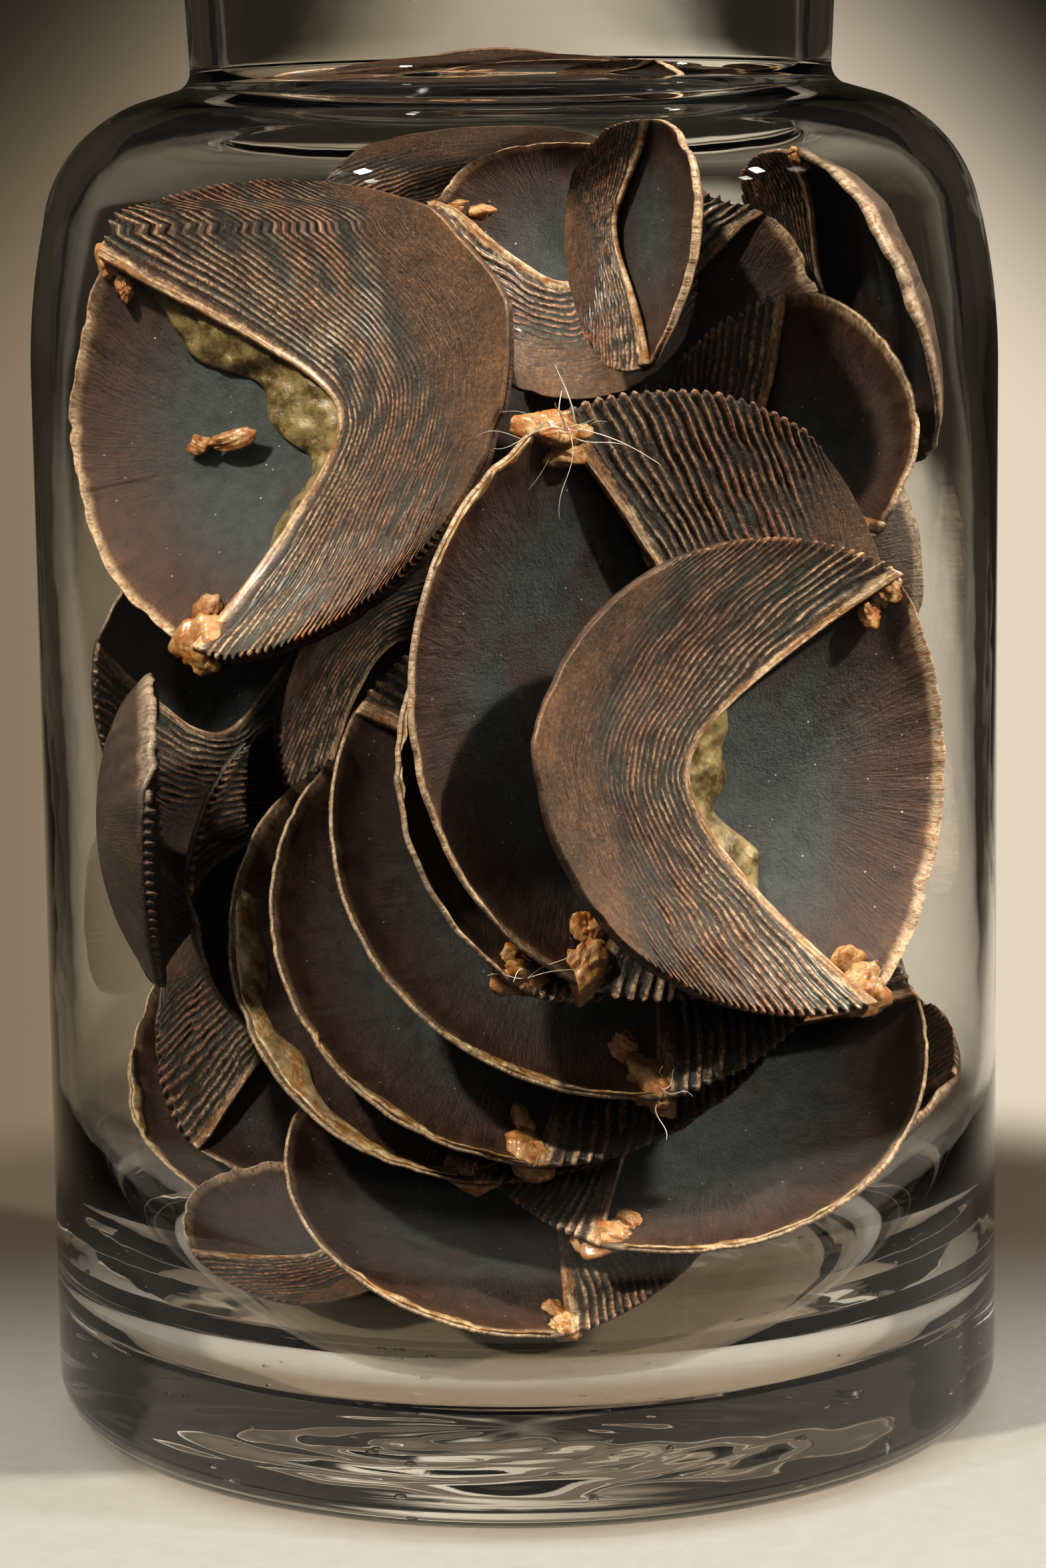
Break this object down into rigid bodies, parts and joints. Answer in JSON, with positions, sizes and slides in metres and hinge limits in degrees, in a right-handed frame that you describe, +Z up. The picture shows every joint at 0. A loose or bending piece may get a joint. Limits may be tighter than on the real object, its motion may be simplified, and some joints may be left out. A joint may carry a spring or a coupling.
{
  "type": "specimen jar",
  "caption": "Round wide-mouthed glass display jar with a loose glass lid and soft sealing ring, packed with curved dried horn scales.",
  "frame": {"origin": "middle of the jar's foot, on the surface it stands on", "axes": "+Z up the jar's axis, -Y towards the side shown in the picture, +X to that viewer's right"},
  "size_m": [0.14, 0.14, 0.265],
  "materials": {
    "jar_glass": "clear, polished",
    "lid_glass": "clear, polished",
    "seal": "matt, slightly cloudy",
    "horn": "semi-gloss dried horn, dark brown with tan edges"
  },
  "bodies": {
    "jar": {"jar_body": "jar_glass", "scale_01": "horn", "scale_02": "horn", "scale_03": "horn", "scale_04": "horn", "scale_05": "horn", "scale_06": "horn", "scale_07": "horn", "scale_08": "horn", "scale_09": "horn", "scale_10": "horn", "scale_11": "horn", "scale_12": "horn", "scale_13": "horn", "scale_14": "horn", "scale_15": "horn", "scale_16": "horn", "scale_17": "horn", "scale_18": "horn", "scale_19": "horn", "scale_20": "horn", "scale_21": "horn", "scale_22": "horn", "scale_23": "horn", "scale_24": "horn", "scale_25": "horn", "scale_26": "horn", "scale_27": "horn", "scale_28": "horn", "scale_29": "horn", "scale_30": "horn", "scale_31": "horn", "scale_32": "horn", "scale_33": "horn", "scale_34": "horn", "scale_35": "horn", "scale_36": "horn", "scale_37": "horn", "scale_38": "horn"},
    "ring": {"seal_ring": "seal"},
    "lid": {"lid": "lid_glass"}
  },
  "joints": [
    {"name": "lid_lift", "type": "slide", "parent": "jar", "child": "ring", "axis": [0, 0, 1], "range_m": [0, 0.06]},
    {"name": "lid_turn", "type": "hinge", "parent": "ring", "child": "lid", "pos_m": [0, 0, 0.2225], "axis": [0, 0, 1], "continuous": true}
  ]
}
